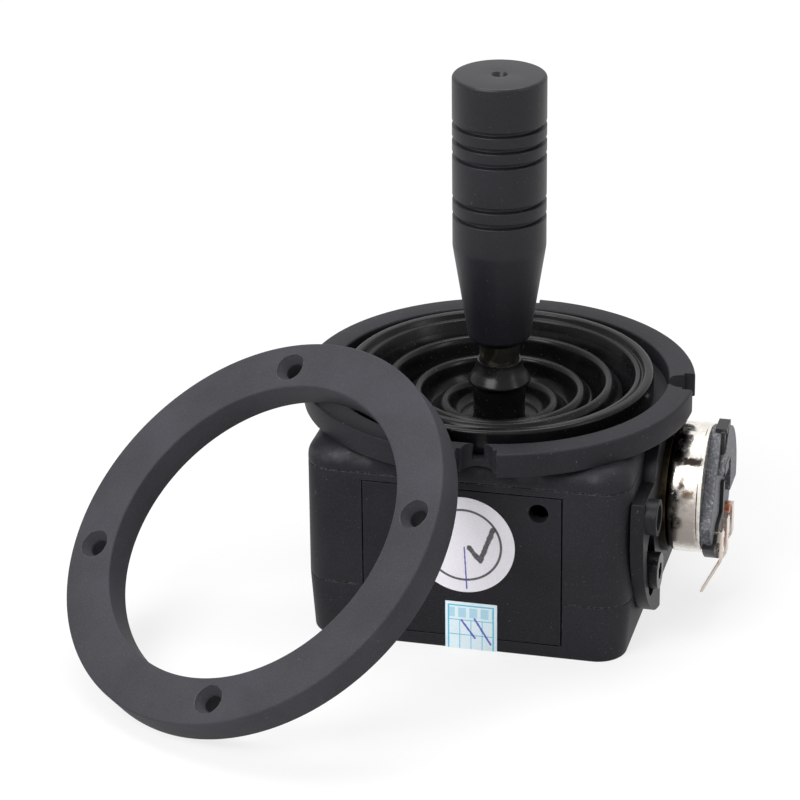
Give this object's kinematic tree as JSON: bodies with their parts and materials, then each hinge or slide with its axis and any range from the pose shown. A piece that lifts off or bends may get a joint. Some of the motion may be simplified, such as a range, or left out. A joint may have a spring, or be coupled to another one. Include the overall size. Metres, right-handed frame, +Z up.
{
  "type": "industrial joystick",
  "caption": "Two-axis spring-centred panel joystick with grooved knob, bellows boot, square housing, rotary potentiometers and a loose bezel ring.",
  "frame": {"origin": "on the upright lever's axis, in the plane of the housing's flat bottom face", "axes": "+Z up along the lever, -Y out of the face with the labels, +X towards the side potentiometer"},
  "size_m": [0.1244, 0.1357, 0.1096],
  "materials": {
    "housing_plastic": "fine-grained moulded black",
    "plate_plastic": "smooth moulded charcoal",
    "inner_plastic": "moulded black",
    "ring_plastic": "matte charcoal",
    "knob_plastic": "satin black",
    "boot_rubber": "glossy black rubber",
    "white_paper": "satin paper",
    "cyan_paper": "printed paper",
    "zinc_steel": "zinc plated",
    "bright_steel": "ground",
    "spring_steel": "drawn wire",
    "black_steel": "black oxide",
    "yoke_metal": "die cast",
    "bearing_brass": "turned",
    "nickel": "nickel plated, lightly tarnished",
    "wiper_plastic": "moulded cream",
    "element_board": "red-brown laminate",
    "phenolic": "rough grey laminate",
    "tinned_brass": "tinned"
  },
  "bodies": {
    "housing": {"base_cover": "housing_plastic", "body_shell": "housing_plastic", "top_housing": "housing_plastic", "front_panel": "housing_plastic", "round_label": "white_paper", "grid_label": "cyan_paper", "limit_plate": "inner_plastic", "housing_screws": "zinc_steel", "cross_yoke_bush": "bearing_brass", "slotted_yoke_bush": "bearing_brass", "boot": "boot_rubber", "cross_yoke_spring": "spring_steel", "slotted_yoke_spring": "spring_steel", "right_pot_plate": "plate_plastic", "right_plate_screws": "black_steel", "right_pot_washer": "bearing_brass", "right_pot_bushing": "bearing_brass", "right_pot_nut": "bearing_brass", "right_pot_can": "nickel", "right_pot_element": "element_board", "right_pot_bar": "phenolic", "right_pot_cap": "phenolic", "right_pot_lugs": "tinned_brass", "rear_pot_plate": "plate_plastic", "rear_plate_screws": "black_steel", "rear_pot_washer": "bearing_brass", "rear_pot_bushing": "bearing_brass", "rear_pot_nut": "bearing_brass", "rear_pot_can": "nickel", "rear_pot_element": "element_board", "rear_pot_bar": "phenolic", "rear_pot_cap": "phenolic", "rear_pot_lugs": "tinned_brass"},
    "cross_yoke_body": {"cross_yoke": "yoke_metal", "pivot_pin": "bright_steel", "right_pot_shaft": "bright_steel", "right_pot_wiper": "wiper_plastic"},
    "lever_body": {"lever_hub": "yoke_metal", "lever_rod": "black_steel", "knob": "knob_plastic"},
    "slotted_yoke_body": {"slotted_yoke": "yoke_metal", "rear_pot_shaft": "bright_steel", "rear_pot_wiper": "wiper_plastic"},
    "ring_body": {"bezel_ring": "ring_plastic"}
  },
  "joints": [
    {"name": "cross_yoke_tilt", "type": "hinge", "parent": "housing", "child": "cross_yoke_body", "pos_m": [0, 0, 0.0248], "axis": [1, 0, 0], "range_deg": [-23, 23], "stiffness_Nm_per_rad": 0.35, "deforming": ["cross_yoke_spring"]},
    {"name": "lever_tilt", "type": "hinge", "parent": "cross_yoke_body", "child": "lever_body", "pos_m": [0, 0, 0.0248], "axis": [0, 1, 0], "range_deg": [-23, 23], "stiffness_Nm_per_rad": 0.35, "deforming": ["boot"]},
    {"name": "slotted_yoke_tilt", "type": "hinge", "parent": "housing", "child": "slotted_yoke_body", "pos_m": [0, 0, 0.0248], "axis": [0, 1, 0], "range_deg": [-23, 23], "deforming": ["slotted_yoke_spring"]},
    {"name": "ring_slide", "type": "slide", "parent": "housing", "child": "ring_body", "axis": [-0.5498, -0.8353, 0], "range_m": [0, 0.04]}
  ],
  "couplings": [
    {"joint": "slotted_yoke_tilt", "follows": "lever_tilt", "ratio": 1}
  ]
}
